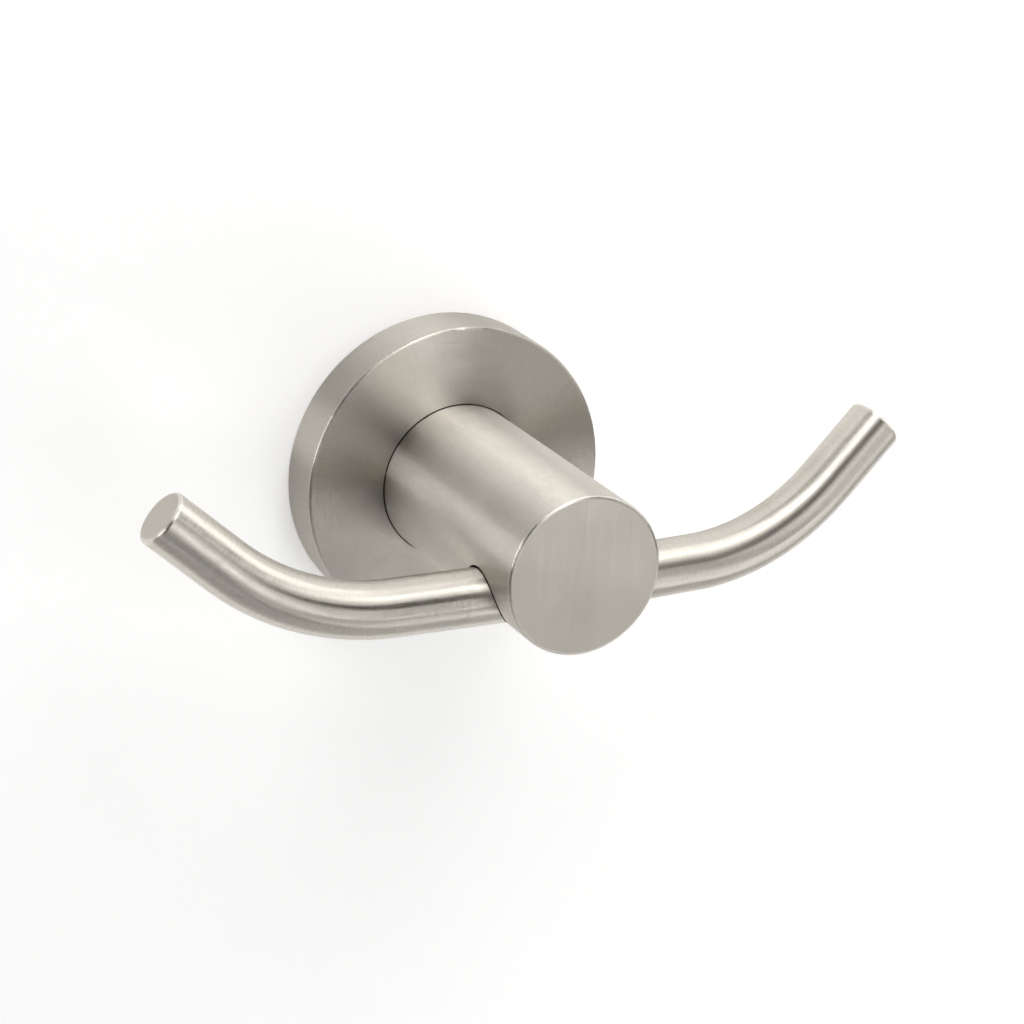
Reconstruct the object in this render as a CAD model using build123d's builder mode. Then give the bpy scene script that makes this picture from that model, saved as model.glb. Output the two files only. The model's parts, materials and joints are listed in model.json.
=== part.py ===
from build123d import *
from math import cos, radians, sin
import os

# A double clothes hook. Millimetres; X is to the right, -Y is away from the wall, Z is up.
# The origin is the centre of the flange's wall face.

# Wall flange
flange_radius = 27.5
flange_depth = 9.6
flange_side_wall = 3.0
flange_front_wall = 3.0
flange_edge_round = 0.6
flange_back_chamfer = 0.4
cavity_corner_round = 1.0

# Post and its seat in the flange
post_radius = 13.6
post_front = 57.8
post_edge_round = 0.6
post_back_chamfer = 0.3
seat_depth = 1.0
seat_gap = 0.12

# Arms: one rod bent upward, mirrored for the other side
rod_radius = 4.8
rod_edge_round = 0.7
arm_setback = 9.5
arm_drop = 5.1
arm_sweep = 7.2
arm_slope = 2.2
arm_bend_start = 27.8
arm_bend_radius = 39.5
arm_bend_angle = 43.6
arm_tip_length = 13.8

# Sockets that hold the arms in the post
socket_floor = 3.0
socket_fit_gap = 0.03
socket_mouth_gap = 0.25
socket_mouth_start = 7.5

# Post screw and lock washer
screw_radius = 3.0
screw_length = 16.0
screw_head_radius = 5.25
screw_head_height = 3.3
screw_head_round = 1.8
screw_hex_width = 4.0
screw_hex_depth = 2.0
screw_tip_chamfer = 0.6
screw_thread_gap = 0.05
screw_hole_gap = 0.3
screw_bore_depth = 18.0
washer_radius = 5.9
washer_thickness = 1.2
washer_hole_gap = 0.15
washer_split_width = 0.8

# Wall bracket: a disc with an undercut rim
bracket_front_gap = 2.0
bracket_side_gap = 0.8
bracket_undercut = 3.5
bracket_rim_land = 0.6
bracket_screw_head_gap = 1.75
wall_hole_radius = 2.25
wall_hole_sink_radius = 4.5
wall_hole_sink_angle = 90.0
wall_hole_spacing = 28.0

# Set screw at the flange's underside
set_screw_radius = 2.0
set_screw_below_rim = 1.0
set_screw_recess = 0.3
set_screw_flat_radius = 0.5
set_screw_gap = 0.05
set_screw_hex_width = 2.0
set_screw_hex_depth = 1.8
set_screw_contact_gap = 0.02

# Sizes and places that follow from the ones above
flange_cavity_radius = flange_radius - flange_side_wall
flange_cavity_depth = flange_depth - flange_front_wall
seat_floor = flange_depth - seat_depth
arm_depth = post_front - arm_setback
bracket_thickness = flange_cavity_depth - bracket_front_gap
bracket_rim_radius = flange_cavity_radius - bracket_side_gap
bracket_foot_radius = bracket_rim_radius - bracket_undercut
screw_face = flange_cavity_depth - washer_thickness
set_screw_cone = set_screw_radius - set_screw_flat_radius
undercut_start = bracket_thickness - bracket_rim_land
undercut_offset = bracket_rim_radius - undercut_start
set_screw_centre = undercut_start - set_screw_below_rim
set_screw_tip = undercut_offset + set_screw_centre + set_screw_flat_radius + set_screw_contact_gap
wall_face = Plane.XZ
underside = Plane(origin=(0, -set_screw_centre, -flange_radius), x_dir=(1, 0, 0), z_dir=(0, 0, 1))


def facing_wall(depth):
    """A plane at this distance from the wall, looking at the wall, to drill toward the front."""
    return Plane(origin=(0, -depth, 0), x_dir=(-1, 0, 0), z_dir=(0, 1, 0))


def arm_direction(side):
    """The way an arm leaves the post, back and down a little: 1 is the right arm, -1 the left."""
    sweep_angle = radians(arm_sweep)
    slope_angle = radians(arm_slope)
    level = Vector(side * cos(sweep_angle), sin(sweep_angle), 0)
    return level * cos(slope_angle) - Vector(0, 0, sin(slope_angle))


def arm_bend_plane(side):
    """The upright plane an arm is bent in: its x runs outward along the arm and its y is up."""
    outward = arm_direction(side)
    return Plane(origin=(0, -arm_depth, -arm_drop), x_dir=outward, z_dir=outward.cross(Vector(0, 0, 1)))


def arm_cross_plane(side, distance):
    """A plane square to an arm at this distance out from the post's middle."""
    outward = arm_direction(side)
    middle = Vector(0, -arm_depth, -arm_drop)
    return Plane(origin=middle + outward * distance, x_dir=outward.cross(Vector(0, 0, 1)), z_dir=outward)


# Wall flange: a cup that is open to the wall, with a shallow seat for the post
with BuildPart() as wall_flange:
    with BuildSketch(wall_face):
        Circle(flange_radius)
    extrude(amount=flange_depth)
    fillet(wall_flange.faces().sort_by(Axis.Y)[0].edges(), flange_edge_round)
    chamfer(wall_flange.faces().sort_by(Axis.Y)[-1].edges(), flange_back_chamfer)
    with BuildSketch(wall_face):
        Circle(flange_cavity_radius)
    extrude(amount=flange_cavity_depth, mode=Mode.SUBTRACT)
    cavity_floor = wall_flange.faces().filter_by(Axis.Y).sort_by(Axis.Y)[1]
    fillet(cavity_floor.outer_wire().edges(), cavity_corner_round)
    with BuildSketch(wall_face.offset(seat_floor)):
        Circle(post_radius + seat_gap)
    extrude(amount=seat_depth, mode=Mode.SUBTRACT)
    with Locations(facing_wall(flange_cavity_depth)):
        Hole(screw_radius + screw_hole_gap)
    with BuildSketch(underside):
        Circle(set_screw_radius + set_screw_gap)
    extrude(amount=flange_radius - bracket_rim_radius, mode=Mode.SUBTRACT)
wall_flange.part.label = "wall_flange"

# Post: a turned bar with two angled blind sockets and a tapped rear end
with BuildPart() as post:
    with BuildSketch(wall_face.offset(seat_floor)):
        Circle(post_radius)
    extrude(amount=post_front - seat_floor)
    fillet(post.faces().sort_by(Axis.Y)[0].edges(), post_edge_round)
    chamfer(post.faces().sort_by(Axis.Y)[-1].edges(), post_back_chamfer)
    for side in (-1, 1):
        with BuildSketch(arm_cross_plane(side, socket_floor)):
            Circle(rod_radius + socket_fit_gap)
        extrude(amount=post_radius, mode=Mode.SUBTRACT)
        with BuildSketch(arm_cross_plane(side, socket_mouth_start)):
            Circle(rod_radius + socket_mouth_gap)
        extrude(amount=post_radius, mode=Mode.SUBTRACT)
    with Locations(facing_wall(seat_floor)):
        Hole(screw_radius + screw_thread_gap, depth=screw_bore_depth)
post.part.label = "post"


def bent_arm(side):
    """One arm: the rod's circle swept along a straight, a bend and a straight tip, with rounded ends."""
    with BuildPart() as arm:
        with BuildLine(arm_bend_plane(side)) as path:
            straight = Line((socket_floor, 0), (arm_bend_start, 0))
            bend = JernArc(straight @ 1, straight % 1, arm_bend_radius, arm_bend_angle)
            Line(bend @ 1, (bend @ 1) + (bend % 1) * arm_tip_length)
        with BuildSketch(arm_cross_plane(side, socket_floor)):
            Circle(rod_radius)
        sweep(path=path.wires()[0])
        fillet(arm.faces().filter_by(GeomType.PLANE).sort_by(Axis.Z)[-1].edges(), rod_edge_round)
    arm.part.label = "left_arm" if side < 0 else "right_arm"
    return arm.part


left_arm = bent_arm(-1)
right_arm = bent_arm(1)

# Post screw: a button head with a hex socket, driven from the wall side
with BuildPart() as post_screw:
    with BuildSketch(wall_face.offset(screw_face)):
        Circle(screw_radius)
    extrude(amount=screw_length)
    chamfer(post_screw.faces().sort_by(Axis.Y)[0].edges(), screw_tip_chamfer)
    with BuildSketch(facing_wall(screw_face)):
        Circle(screw_head_radius)
    extrude(amount=screw_head_height)
    fillet(post_screw.faces().sort_by(Axis.Y)[-1].edges(), screw_head_round)
    with BuildSketch(facing_wall(screw_face - screw_head_height)):
        RegularPolygon(screw_hex_width / 2, 6, major_radius=False)
    extrude(amount=-screw_hex_depth, mode=Mode.SUBTRACT)
post_screw.part.label = "post_screw"

# Lock washer: a flat ring with one cut
with BuildPart() as lock_washer:
    with BuildSketch(wall_face.offset(screw_face)):
        Circle(washer_radius)
        Circle(screw_radius + washer_hole_gap, mode=Mode.SUBTRACT)
        with Locations((0, washer_radius)):
            Rectangle(washer_split_width, washer_radius, mode=Mode.SUBTRACT)
    extrude(amount=washer_thickness)
lock_washer.part.label = "lock_washer"

# Wall bracket: a disc whose rim leans inward toward the wall, with two countersunk wall holes
with BuildPart() as wall_bracket:
    with BuildSketch(Plane.YZ):
        with BuildLine():
            Polyline(
                (0, 0),
                (-bracket_thickness, 0),
                (-bracket_thickness, bracket_rim_radius),
                (-undercut_start, bracket_rim_radius),
                (undercut_offset - bracket_foot_radius, bracket_foot_radius),
                (0, bracket_foot_radius),
                close=True,
            )
        make_face()
    revolve(axis=Axis.Y)
    with Locations(wall_face.offset(bracket_thickness)):
        Hole(screw_head_radius + bracket_screw_head_gap)
        with GridLocations(0, wall_hole_spacing, 1, 2):
            CounterSinkHole(wall_hole_radius, wall_hole_sink_radius, counter_sink_angle=wall_hole_sink_angle)
wall_bracket.part.label = "wall_bracket"

# Set screw: a cone-point grub screw that pushes up against the bracket's undercut
with BuildPart() as set_screw:
    with BuildSketch(underside.offset(set_screw_recess)):
        Circle(set_screw_radius)
    extrude(amount=flange_radius - set_screw_recess - set_screw_tip)
    chamfer(set_screw.faces().sort_by(Axis.Z)[-1].edges(), set_screw_cone)
    with BuildSketch(underside.offset(set_screw_recess)):
        RegularPolygon(set_screw_hex_width / 2, 6, major_radius=False)
    extrude(amount=set_screw_hex_depth, mode=Mode.SUBTRACT)
set_screw.part.label = "set_screw"

os.makedirs("parts", exist_ok=True)
pieces = [
    wall_flange.part,
    post.part,
    left_arm,
    right_arm,
    post_screw.part,
    lock_washer.part,
    wall_bracket.part,
    set_screw.part,
]
for piece in pieces:
    export_step(piece, f"parts/{piece.label}.step")
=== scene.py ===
import json
from collections import namedtuple
from math import cos, pi, radians, sin

import bpy
from mathutils import Matrix, Vector

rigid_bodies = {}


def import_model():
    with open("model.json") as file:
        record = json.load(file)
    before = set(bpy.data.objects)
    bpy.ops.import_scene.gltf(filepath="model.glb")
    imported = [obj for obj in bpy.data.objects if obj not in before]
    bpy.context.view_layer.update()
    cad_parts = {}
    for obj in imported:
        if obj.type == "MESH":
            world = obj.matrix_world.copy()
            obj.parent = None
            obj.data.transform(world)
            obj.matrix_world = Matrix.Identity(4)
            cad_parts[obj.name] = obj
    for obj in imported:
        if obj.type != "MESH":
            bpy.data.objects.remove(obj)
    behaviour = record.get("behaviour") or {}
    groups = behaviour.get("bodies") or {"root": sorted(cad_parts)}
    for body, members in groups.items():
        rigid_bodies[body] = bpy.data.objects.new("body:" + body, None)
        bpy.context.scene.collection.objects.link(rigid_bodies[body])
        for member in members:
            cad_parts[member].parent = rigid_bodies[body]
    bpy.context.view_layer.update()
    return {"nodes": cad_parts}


# A double clothes hook in satin nickel on a white wall.
# Metres; X is to the right, -Y is away from the wall, Z is up. The origin is on the wall.

for leftover in list(bpy.data.objects):
    bpy.data.objects.remove(leftover)
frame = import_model()
nodes = frame["nodes"]
scene = bpy.context.scene

# Camera: its place, aim and focal length were fitted to the photograph's outlines
camera_aim = Vector((0.001195, -0.02892, 0.000734))
camera_distance = 0.49737
camera_azimuth = radians(-27.116)
camera_elevation = radians(20.515)
camera_roll = radians(2.204)
camera_lens = 104.316
camera_sensor = 36.0
camera_clip_start = 0.01

# Wall with an opening behind the flange, and a floor well below the hook
wall_gap = 0.0002
wall_reach = 1.5
wall_opening_radius = 0.0262
wall_steps = 96
wall_colour = (0.93, 0.93, 0.93, 1.0)
wall_glow = 0.34
floor_drop = 0.45
floor_colour = (0.70, 0.70, 0.70, 1.0)
floor_glow = 0.0

# Studio light: a dim room, six soft boxes in front of the wall, and one behind it for the hook's back
room_radiance = 0.05
room_colour = (1.0, 0.92, 0.82, 1.0)
SoftBox = namedtuple("SoftBox", "place size radiance")
soft_boxes = {
    "overhead": SoftBox(place=Vector((0.17, -0.17, 0.60)), size=(0.82, 0.30), radiance=2.65),
    "key": SoftBox(place=Vector((-0.08, -0.47, 0.56)), size=(0.50, 0.36), radiance=2.25),
    "right": SoftBox(place=Vector((0.60, -0.17, 0.30)), size=(0.30, 0.60), radiance=1.9),
    "left": SoftBox(place=Vector((-0.69, -0.10, 0.17)), size=(0.25, 0.36), radiance=2.95),
    "front": SoftBox(place=Vector((0.12, -0.735, -0.025)), size=(0.46, 0.46), radiance=1.7),
    "low": SoftBox(place=Vector((0.2665, -0.3575, -0.275)), size=(0.466, 0.32), radiance=1.2),
    "behind": SoftBox(place=Vector((0.0, 0.55, -0.05)), size=(1.30, 0.60), radiance=1.2),
}
light_aim = Vector((0.0, -0.040, 0.0))

# Sizes of the pieces, as in the part
flange_radius = 0.0275
flange_face = 0.0096
post_radius = 0.0136
rod_radius = 0.0048
seat_gap = 0.00012
socket_mouth_gap = 0.00025
seat_radius = post_radius + seat_gap
socket_radius = rod_radius + socket_mouth_gap

# The arms' centre line, as in the part: outward run, bend and raised tip
arm_start = Vector((0.0, -0.0483, -0.0051))
arm_sweep = radians(7.2)
arm_slope = radians(2.2)
arm_bend_start = 0.0278
arm_bend_radius = 0.0395
arm_bend_angle = radians(43.6)

# Satin nickel: its colour, and the tone, roughness and grain of each kind of piece
nickel_colour = (0.64, 0.607, 0.548)
nickel_edge_tint = (0.85, 0.85, 0.85, 1.0)
Finish = namedtuple("Finish", "tone roughness anisotropy line_shade")
flange_finish = Finish(tone=0.86, roughness=0.40, anisotropy=1.0, line_shade=0.04)
post_finish = Finish(tone=1.06, roughness=0.40, anisotropy=1.0, line_shade=0.05)
arm_finish = Finish(tone=1.18, roughness=0.40, anisotropy=1.0, line_shade=0.09)

# Fine lines round the axis: how close they lie, how fast they change along their length, their relief
line_density = 3500.0
line_stretch = 600.0
line_roughness = 0.05
line_strength = 0.07
line_depth = 0.00002
grain_detail = 2.0

# Faint streaks across those lines, and large soft clouds
streak_width = 0.0003
streak_stretch = 300.0
streak_shade = 0.05
streak_roughness = 0.04
cloud_density = 90.0
cloud_roughness = 0.02

# Flat ends that are brushed one way, and rounded edges that are polished.
# An edge is strongest where facing * (1 - facing) has its peak.
flat_face_limit = 0.985
end_roughness = 0.42
end_stretch = 150.0
end_evenness = 0.62
edge_polish = 0.14
edge_peak = 0.25

# Joints between the pieces: painted shade, a dark line in each joint and in a narrow band beside it, where
# the gap is in shadow
joint_painted_shade = 0.10
joint_shade_band = 0.0001

# Plated steel of the hidden pieces
zinc_colour = (0.62, 0.64, 0.66, 1.0)
zinc_shadow = (0.46, 0.48, 0.50, 1.0)
oxide_colour = (0.050, 0.050, 0.055, 1.0)
oxide_shadow = (0.022, 0.022, 0.026, 1.0)
screw_roughness = 0.30
plate_roughness = 0.38
oxide_roughness = 0.42
plating_density = 700.0
plating_detail = 3.0
plating_roughness = 0.06
plating_strength = 0.3
thread_pitch = 0.001
thread_depth = 0.0003

# A noise value mostly lies from low to high
noise_low = 0.3
noise_middle = 0.5
noise_high = 0.7

# Directions
along_x = (1.0, 0.0, 0.0)
along_y = (0.0, 1.0, 0.0)
along_z = (0.0, 0.0, 1.0)


def add_camera():
    """A camera that looks at the aim from the fitted direction, rolled about its own axis."""
    back = Vector((
        sin(camera_azimuth) * cos(camera_elevation),
        -cos(camera_azimuth) * cos(camera_elevation),
        sin(camera_elevation),
    ))
    level_right = Vector(along_z).cross(back).normalized()
    level_up = back.cross(level_right)
    right = level_right * cos(camera_roll) + level_up * sin(camera_roll)
    up = level_up * cos(camera_roll) - level_right * sin(camera_roll)
    data = bpy.data.cameras.new("camera")
    data.lens = camera_lens
    data.sensor_width = camera_sensor
    data.clip_start = camera_clip_start
    camera = bpy.data.objects.new("camera", data)
    turn = Matrix((right, up, back)).transposed().to_4x4()
    camera.matrix_world = Matrix.Translation(camera_aim + back * camera_distance) @ turn
    scene.collection.objects.link(camera)
    scene.camera = camera


def add_softbox(name, box):
    """A rectangular lamp that faces the hook and shows the box's radiance."""
    data = bpy.data.lights.new(name, "AREA")
    data.shape = "RECTANGLE"
    width, height = box.size
    data.size = width
    data.size_y = height
    data.energy = box.radiance * pi * width * height
    lamp = bpy.data.objects.new(name, data)
    lamp.location = box.place
    lamp.rotation_euler = (light_aim - box.place).to_track_quat("-Z", "Y").to_euler()
    lamp.visible_camera = False
    scene.collection.objects.link(lamp)


def add_room():
    """A dim, slightly warm room all round."""
    world = bpy.data.worlds.new("room")
    world.use_nodes = True
    background = world.node_tree.nodes["Background"]
    background.inputs["Color"].default_value = room_colour
    background.inputs["Strength"].default_value = room_radiance
    scene.world = world


class Shader:
    """A new material's node tree, with short helpers to add and join nodes."""

    def __init__(self, name):
        self.material = bpy.data.materials.new(name)
        self.material.use_nodes = True
        self.tree = self.material.node_tree
        self.tree.nodes.clear()
        self.output = self.add("ShaderNodeOutputMaterial")

    def add(self, kind, **settings):
        node = self.tree.nodes.new(kind)
        for key, value in settings.items():
            setattr(node, key, value)
        return node

    def put(self, socket, value):
        """Links a socket to an output, or sets its own value."""
        if isinstance(value, bpy.types.NodeSocket):
            self.tree.links.new(value, socket)
        else:
            socket.default_value = value

    def math(self, operation, *values):
        node = self.add("ShaderNodeMath", operation=operation)
        for socket, value in zip(node.inputs, values):
            self.put(socket, value)
        return node.outputs[0]

    def vector(self, operation, *values):
        node = self.add("ShaderNodeVectorMath", operation=operation)
        if operation == "SCALE":
            self.put(node.inputs[0], values[0])
            self.put(node.inputs["Scale"], values[1])
        else:
            for socket, value in zip(node.inputs, values):
                self.put(socket, value)
        return node.outputs["Value" if operation in ("DOT_PRODUCT", "LENGTH", "DISTANCE") else "Vector"]

    def combine(self, x, y, z):
        node = self.add("ShaderNodeCombineXYZ")
        for socket, value in zip(node.inputs, (x, y, z)):
            self.put(socket, value)
        return node.outputs[0]

    def either(self, choice, no, yes):
        """One vector where the choice is 0, the other where it is 1. Sockets 4 and 5 take vectors."""
        node = self.add("ShaderNodeMix", data_type="VECTOR")
        self.put(node.inputs["Factor"], choice)
        self.put(node.inputs[4], no)
        self.put(node.inputs[5], yes)
        return node.outputs[1]

    def noise(self, vector, scale, detail):
        node = self.add("ShaderNodeTexNoise")
        self.put(node.inputs["Vector"], vector)
        node.inputs["Scale"].default_value = scale
        node.inputs["Detail"].default_value = detail
        return node.outputs["Fac"]

    def metal(self, anisotropy):
        """A metal surface that is joined to the output."""
        node = self.add("ShaderNodeBsdfPrincipled")
        node.inputs["Metallic"].default_value = 1.0
        node.inputs["Anisotropic"].default_value = anisotropy
        self.put(self.output.inputs["Surface"], node.outputs[0])
        return node

    def bump(self, height, strength, depth):
        node = self.add("ShaderNodeBump")
        self.put(node.inputs["Strength"], strength)
        node.inputs["Distance"].default_value = depth
        self.put(node.inputs["Height"], height)
        return node.outputs["Normal"]

    def remap(self, value, low, high):
        """Spreads a noise value between two numbers."""
        node = self.add("ShaderNodeMapRange")
        self.put(node.inputs["Value"], value)
        node.inputs["From Min"].default_value = noise_low
        node.inputs["From Max"].default_value = noise_high
        node.inputs["To Min"].default_value = low
        node.inputs["To Max"].default_value = high
        return node.outputs["Result"]


def matt_paint(name, colour, glow_strength):
    """Matt paint. Its back is see-through, so that the hook shows from behind and below as well."""
    s = Shader(name)
    path = s.add("ShaderNodeLightPath")
    seen = s.math("ADD", path.outputs["Is Camera Ray"], path.outputs["Is Glossy Ray"])
    seen = s.math("ADD", seen, path.outputs["Is Transmission Ray"])
    glow = s.add("ShaderNodeEmission")
    s.put(glow.inputs["Strength"], s.math("MULTIPLY", seen, glow_strength))
    matt = s.add("ShaderNodeBsdfDiffuse")
    matt.inputs["Color"].default_value = colour
    front = s.add("ShaderNodeAddShader")
    s.put(front.inputs[0], matt.outputs[0])
    s.put(front.inputs[1], glow.outputs[0])
    clear = s.add("ShaderNodeBsdfTransparent")
    either = s.add("ShaderNodeMixShader")
    s.put(either.inputs[0], s.add("ShaderNodeNewGeometry").outputs["Backfacing"])
    s.put(either.inputs[1], front.outputs[0])
    s.put(either.inputs[2], clear.outputs[0])
    s.put(s.output.inputs["Surface"], either.outputs[0])
    return s.material


def add_wall():
    """A wide wall with a round opening that the flange covers."""
    rim = []
    edge = []
    for step in range(wall_steps):
        angle = 2 * pi * step / wall_steps
        along, upward = cos(angle), sin(angle)
        reach = wall_reach / max(abs(along), abs(upward))
        rim.append((along * wall_opening_radius, wall_gap, upward * wall_opening_radius))
        edge.append((along * reach, wall_gap, upward * reach))
    faces = []
    for step in range(wall_steps):
        after = (step + 1) % wall_steps
        faces.append((step, after, wall_steps + after, wall_steps + step))
    mesh = bpy.data.meshes.new("wall")
    mesh.from_pydata(rim + edge, [], faces)
    if mesh.polygons[0].normal.y > 0:
        mesh.flip_normals()
    mesh.materials.append(matt_paint("wall_paint", wall_colour, wall_glow))
    wall = bpy.data.objects.new("wall", mesh)
    scene.collection.objects.link(wall)


def add_floor():
    """A pale floor in front of the wall."""
    corners = [
        (-wall_reach, -wall_reach, -floor_drop),
        (wall_reach, -wall_reach, -floor_drop),
        (wall_reach, wall_gap, -floor_drop),
        (-wall_reach, wall_gap, -floor_drop),
    ]
    mesh = bpy.data.meshes.new("floor")
    mesh.from_pydata(corners, [], [(0, 1, 2, 3)])
    mesh.materials.append(matt_paint("floor_paint", floor_colour, floor_glow))
    floor = bpy.data.objects.new("floor", mesh)
    scene.collection.objects.link(floor)


def turned_axis(s, position):
    """The Y axis of a turned piece: its direction, the distance along it and its nearest point."""
    along = s.vector("DOT_PRODUCT", position, along_y)
    return s.combine(*along_y), along, s.combine(0.0, along, 0.0)


def arm_axis(side):
    """The same three things for a bent arm's centre line. Side is 1 for the right arm, -1 for the left."""
    level = Vector((side * cos(arm_sweep), sin(arm_sweep), 0.0))
    outward = level * cos(arm_slope) - Vector(along_z) * sin(arm_slope)
    upward = level * sin(arm_slope) + Vector(along_z) * cos(arm_slope)
    tip = outward * cos(arm_bend_angle) + upward * sin(arm_bend_angle)
    bend_start = arm_start + outward * arm_bend_start
    bend_centre = bend_start + upward * arm_bend_radius
    end_spoke = outward * sin(arm_bend_angle) - upward * cos(arm_bend_angle)
    bend_end = bend_centre + end_spoke * arm_bend_radius

    def axis(s, position):
        from_start = s.vector("SUBTRACT", position, bend_start)
        from_centre = s.vector("SUBTRACT", position, bend_centre)
        from_end = s.vector("SUBTRACT", position, bend_end)
        before = s.math("MINIMUM", s.vector("DOT_PRODUCT", from_start, outward), 0.0)
        after = s.math("MAXIMUM", s.vector("DOT_PRODUCT", from_end, tip), 0.0)
        below = s.math("MULTIPLY", s.vector("DOT_PRODUCT", from_centre, upward), -1.0)
        bent = s.math("ARCTAN2", s.vector("DOT_PRODUCT", from_centre, outward), below)
        bent = s.math("MINIMUM", s.math("MAXIMUM", bent, 0.0), arm_bend_angle)
        turn_cos = s.math("COSINE", bent)
        turn_sin = s.math("SINE", bent)
        ahead = s.vector("SCALE", outward, turn_cos)
        rising = s.vector("SCALE", upward, turn_sin)
        direction = s.vector("ADD", ahead, rising)
        spoke_ahead = s.vector("SCALE", outward, turn_sin)
        spoke_rising = s.vector("SCALE", upward, turn_cos)
        spoke = s.vector("SUBTRACT", spoke_ahead, spoke_rising)
        on_bend = s.vector("ADD", s.vector("SCALE", spoke, arm_bend_radius), bend_centre)
        straight = s.math("ADD", before, after)
        middle = s.vector("ADD", on_bend, s.vector("SCALE", direction, straight))
        along = s.math("ADD", straight, s.math("MULTIPLY", bent, arm_bend_radius))
        return direction, along, middle

    return axis


def from_axis(s, position):
    """The distance from the Y axis."""
    return s.vector("LENGTH", s.vector("MULTIPLY", position, (1.0, 0.0, 1.0)))


def flange_joint_shade_mask(s, position):
    """1 in the flange's seat for the post and in a narrow band round it, where shade is painted dark."""
    return s.math("LESS_THAN", from_axis(s, position), seat_radius + joint_shade_band)


def arm_joint_shade_mask(s, position):
    """1 on the length of an arm that is inside the post and in a narrow band beyond it, where shade is
    painted dark.
    """
    return s.math("LESS_THAN", from_axis(s, position), post_radius + joint_shade_band)


def post_joint_shade_mask(s, position):
    """1 on the end of the post that is in the flange's seat, and inside its two sockets, each with a
    narrow band beyond, where shade is painted dark.
    """
    along = s.vector("DOT_PRODUCT", position, along_y)
    sideways = s.math("ABSOLUTE", s.vector("DOT_PRODUCT", position, along_x))
    mirrored = s.combine(sideways, along, s.vector("DOT_PRODUCT", position, along_z))
    middle = arm_axis(1)(s, mirrored)[2]
    from_arm = s.vector("DISTANCE", mirrored, middle)
    in_socket = s.math("LESS_THAN", from_arm, socket_radius + joint_shade_band)
    in_seat = s.math("GREATER_THAN", along, -flange_face - joint_shade_band)
    return s.math("MAXIMUM", in_socket, in_seat)


def nickel(name, axis, radius, joint_shade_mask, finish, brushed_ends):
    """Satin nickel with lines round the axis, streaks across them, polished edges and painted shade in the
    joints.

    The lines run round on the ends as well, unless the ends are brushed one way.
    """
    s = Shader(name)
    position = s.add("ShaderNodeTexCoord").outputs["Object"]
    normal = s.add("ShaderNodeNewGeometry").outputs["Normal"]
    direction, along, middle = axis(s, position)
    spoke = s.vector("SUBTRACT", position, middle)
    around = s.vector("NORMALIZE", s.vector("CROSS_PRODUCT", direction, spoke))
    tangent = s.vector("CROSS_PRODUCT", normal, around)
    facing = s.math("ABSOLUTE", s.vector("DOT_PRODUCT", normal, direction))
    stretch = line_stretch
    roughness = finish.roughness

    # Streaks across the lines
    across = s.math("ADD", along, s.vector("LENGTH", spoke))
    turned = s.vector("SCALE", s.vector("NORMALIZE", spoke), radius / streak_width)
    lengthwise = s.combine(0.0, s.math("MULTIPLY", across, streak_stretch), 0.0)
    streaks = s.noise(s.vector("ADD", turned, lengthwise), 1.0, grain_detail)

    # Flat ends: no streaks, and lines that run one way
    if brushed_ends:
        flat = s.math("GREATER_THAN", facing, flat_face_limit)
        sideways = s.vector("NORMALIZE", s.vector("CROSS_PRODUCT", direction, along_z))
        tangent = s.either(flat, tangent, sideways)
        across_end = s.vector("DOT_PRODUCT", position, sideways)
        across = s.math("MULTIPLY_ADD", flat, s.math("SUBTRACT", across_end, across), across)
        stretch = s.math("MULTIPLY_ADD", flat, end_stretch - line_stretch, line_stretch)
        roughness = s.math("MULTIPLY_ADD", flat, end_roughness - finish.roughness, finish.roughness)
        streaks = s.math("MULTIPLY_ADD", flat, s.math("SUBTRACT", noise_middle, streaks), streaks)

    # Lines, which are fainter on the flat ends
    slow = s.vector("SCALE", position, stretch)
    fast = s.combine(s.math("MULTIPLY", across, line_density), 0.0, 0.0)
    lines = s.noise(s.vector("ADD", slow, fast), 1.0, grain_detail)
    if brushed_ends:
        evened = s.math("MULTIPLY", s.math("SUBTRACT", noise_middle, lines), end_evenness)
        lines = s.math("MULTIPLY_ADD", flat, evened, lines)

    # Colour: lines and streaks, and painted shade, dark in and beside the joints
    principled = s.metal(finish.anisotropy)
    principled.inputs["Specular Tint"].default_value = nickel_edge_tint
    shade = s.remap(lines, finish.tone - finish.line_shade, finish.tone + finish.line_shade)
    shade = s.math("ADD", shade, s.remap(streaks, -streak_shade, streak_shade))
    # Painted shade: the joints and the band beside them are darkened to the joint's shade tone
    joint_shade_factor = s.math("MULTIPLY_ADD", joint_shade_mask(s, position), joint_painted_shade - 1.0, 1.0)
    shade = s.math("MULTIPLY", shade, joint_shade_factor)
    s.put(principled.inputs["Base Color"], s.vector("SCALE", nickel_colour, shade))

    # Roughness: uneven on the faces, even and lower on the rounded edges
    clouds = s.noise(position, cloud_density, grain_detail)
    uneven = s.remap(lines, -line_roughness, line_roughness)
    uneven = s.math("ADD", uneven, s.remap(clouds, -cloud_roughness, cloud_roughness))
    uneven = s.math("ADD", uneven, s.remap(streaks, -streak_roughness, streak_roughness))
    edge = s.math("MULTIPLY", facing, s.math("SUBTRACT", 1.0, facing))
    polished = s.math("DIVIDE", edge, edge_peak)
    unpolished = s.math("SUBTRACT", 1.0, polished)
    uneven = s.math("MULTIPLY", uneven, unpolished)
    uneven = s.math("MULTIPLY_ADD", polished, -edge_polish, uneven)
    s.put(principled.inputs["Roughness"], s.math("ADD", uneven, roughness))
    s.put(principled.inputs["Tangent"], tangent)
    relief = s.math("MULTIPLY", unpolished, line_strength)
    s.put(principled.inputs["Normal"], s.bump(lines, relief, line_depth))
    return s.material


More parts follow.
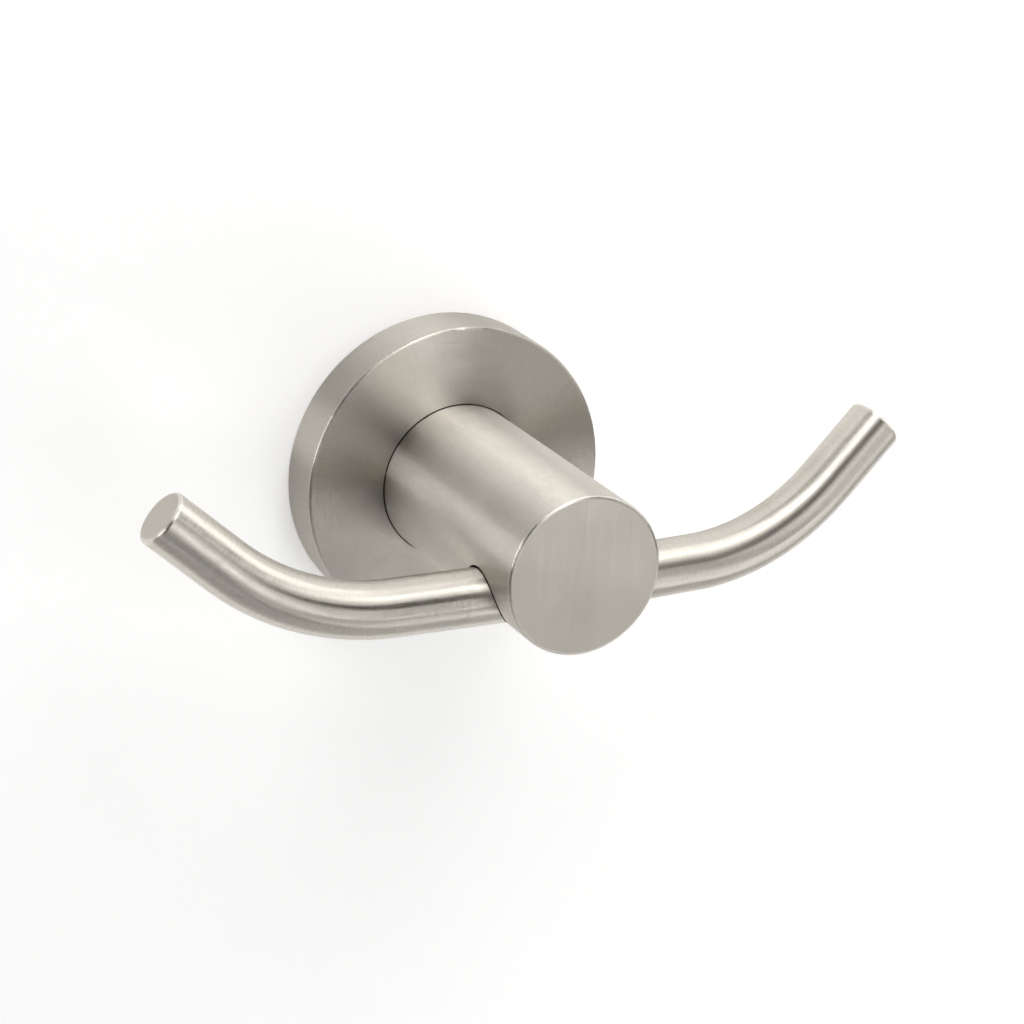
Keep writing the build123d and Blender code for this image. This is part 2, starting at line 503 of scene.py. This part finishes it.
def plated_steel(name, colour, shadow, roughness, threaded_axis):
    """Plated steel with a faint crystal mottle, and a thread round the axis if one is given."""
    s = Shader(name)
    position = s.add("ShaderNodeTexCoord").outputs["Object"]
    mottle = s.noise(position, plating_density, plating_detail)
    principled = s.metal(0.0)
    tone = s.add("ShaderNodeMix", data_type="RGBA")
    s.put(tone.inputs["Factor"], s.remap(mottle, 0.0, 1.0))
    tone.inputs["A"].default_value = shadow
    tone.inputs["B"].default_value = colour
    s.put(principled.inputs["Base Color"], tone.outputs["Result"])
    uneven = s.remap(mottle, roughness - plating_roughness, roughness + plating_roughness)
    s.put(principled.inputs["Roughness"], uneven)
    height = mottle
    depth = line_depth
    if threaded_axis:
        distance = s.vector("DOT_PRODUCT", position, threaded_axis)
        height = s.math("PINGPONG", distance, thread_pitch / 2)
        height = s.math("DIVIDE", height, thread_pitch / 2)
        depth = thread_depth
    s.put(principled.inputs["Normal"], s.bump(height, plating_strength, depth))
    return s.material


def assign(material, *names):
    """Gives the named nodes this material."""
    for name in names:
        for material_slot in nodes[name].material_slots:
            material_slot.material = material


add_camera()
add_room()
for box_name, soft_box in soft_boxes.items():
    add_softbox(box_name, soft_box)
add_wall()
add_floor()

flange_nickel = nickel("flange_nickel", turned_axis, flange_radius, flange_joint_shade_mask, flange_finish, False)
post_nickel = nickel("post_nickel", turned_axis, post_radius, post_joint_shade_mask, post_finish, True)
left_arm_nickel = nickel("left_arm_nickel", arm_axis(-1), rod_radius, arm_joint_shade_mask, arm_finish, True)
right_arm_nickel = nickel("right_arm_nickel", arm_axis(1), rod_radius, arm_joint_shade_mask, arm_finish, True)
zinc_screw = plated_steel("zinc_screw", zinc_colour, zinc_shadow, screw_roughness, along_y)
zinc_plate = plated_steel("zinc_plate", zinc_colour, zinc_shadow, plate_roughness, None)
dark_oxide = plated_steel("dark_oxide", oxide_colour, oxide_shadow, oxide_roughness, along_z)
assign(flange_nickel, "wall_flange")
assign(post_nickel, "post")
assign(left_arm_nickel, "left_arm")
assign(right_arm_nickel, "right_arm")
assign(zinc_screw, "post_screw")
assign(zinc_plate, "lock_washer", "wall_bracket")
assign(dark_oxide, "set_screw")

scene.view_settings.view_transform = "Standard"
